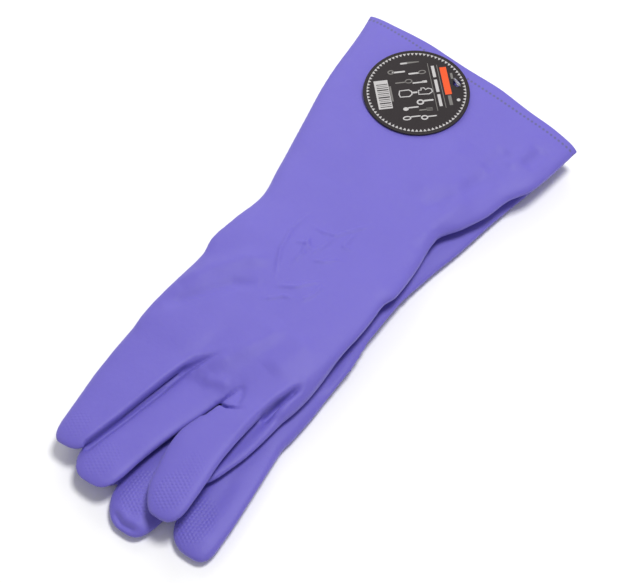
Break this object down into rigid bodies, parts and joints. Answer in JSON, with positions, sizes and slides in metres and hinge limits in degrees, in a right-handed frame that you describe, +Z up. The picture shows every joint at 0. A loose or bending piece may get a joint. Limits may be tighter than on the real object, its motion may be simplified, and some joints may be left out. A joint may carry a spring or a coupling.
{
  "type": "rubber gloves",
  "caption": "Pair of long household rubber gloves lying flat, one on the other, palms up and thumbs folded under, with a round card tag pinned through the cuffs.",
  "frame": {"origin": "centre of the footprint, on the surface the pair lies on", "axes": "+Y along the gloves towards the cuffs, fingertips towards -Y, +Z up, palms facing +Z"},
  "size_m": [0.146, 0.3311, 0.0248],
  "materials": {
    "latex": "matte purple latex",
    "card": "black printed card",
    "nylon": "clear moulded nylon"
  },
  "bodies": {
    "left_glove": {"left_glove_body": "latex"},
    "left_index": {"left_index_finger": "latex"},
    "left_middle": {"left_middle_finger": "latex"},
    "left_ring": {"left_ring_finger": "latex"},
    "left_little": {"left_little_finger": "latex"},
    "left_thumb_flap": {"left_thumb": "latex"},
    "right_glove": {"right_glove_body": "latex", "right_thumb": "latex"},
    "right_index": {"right_index_finger": "latex"},
    "right_middle": {"right_middle_finger": "latex"},
    "right_ring": {"right_ring_finger": "latex", "right_little_finger": "latex"},
    "pin": {"tag_pin": "nylon"},
    "tag": {"card_tag": "card"}
  },
  "joints": [
    {"name": "pair_fan", "type": "hinge", "parent": "left_glove", "child": "right_glove", "pos_m": [-0.006, 0.145, 0.0085], "axis": [0, 0, 1], "range_deg": [-12, 25]},
    {"name": "right_index_bend", "type": "hinge", "parent": "right_glove", "child": "right_index", "pos_m": [-0.036, -0.0702, 0.0168], "axis": [-1, 0, 0], "range_deg": [0, 80], "stiffness_Nm_per_rad": 0.02},
    {"name": "right_middle_bend", "type": "hinge", "parent": "right_glove", "child": "right_middle", "pos_m": [-0.0025, -0.0702, 0.0168], "axis": [-1, 0, 0], "range_deg": [0, 80], "stiffness_Nm_per_rad": 0.02},
    {"name": "right_ring_little_bend", "type": "hinge", "parent": "right_glove", "child": "right_ring", "pos_m": [0.0215, -0.0702, 0.021], "axis": [-1, 0, 0], "range_deg": [0, 80], "stiffness_Nm_per_rad": 0.02},
    {"name": "left_index_bend", "type": "hinge", "parent": "left_glove", "child": "left_index", "pos_m": [0.0353, -0.0742, 0], "axis": [1, 0, 0], "range_deg": [0, 70], "stiffness_Nm_per_rad": 0.02},
    {"name": "left_middle_bend", "type": "hinge", "parent": "left_glove", "child": "left_middle", "pos_m": [0.0086, -0.0742, 0], "axis": [1, 0, 0], "range_deg": [0, 70], "stiffness_Nm_per_rad": 0.02},
    {"name": "left_ring_bend", "type": "hinge", "parent": "left_glove", "child": "left_ring", "pos_m": [-0.0173, -0.0742, 0], "axis": [1, 0, 0], "range_deg": [0, 70], "stiffness_Nm_per_rad": 0.02},
    {"name": "left_little_bend", "type": "hinge", "parent": "left_glove", "child": "left_little", "pos_m": [-0.0379, -0.0742, 0], "axis": [1, 0, 0], "range_deg": [0, 70], "stiffness_Nm_per_rad": 0.02},
    {"name": "left_thumb_unfold", "type": "hinge", "parent": "left_glove", "child": "left_thumb_flap", "pos_m": [0.0482, 0, 0.0026], "axis": [0, -1, 0], "range_deg": [0, 120], "stiffness_Nm_per_rad": 0.005},
    {"name": "pin_spin", "type": "hinge", "parent": "left_glove", "child": "pin", "pos_m": [-0.006, 0.145, 0.02], "axis": [0, 0, 1], "continuous": true},
    {"name": "tag_lift", "type": "hinge", "parent": "pin", "child": "tag", "pos_m": [-0.00226, 0.14946, 0.0204], "axis": [-0.7659, 0.6429, 0], "range_deg": [0, 18]}
  ]
}
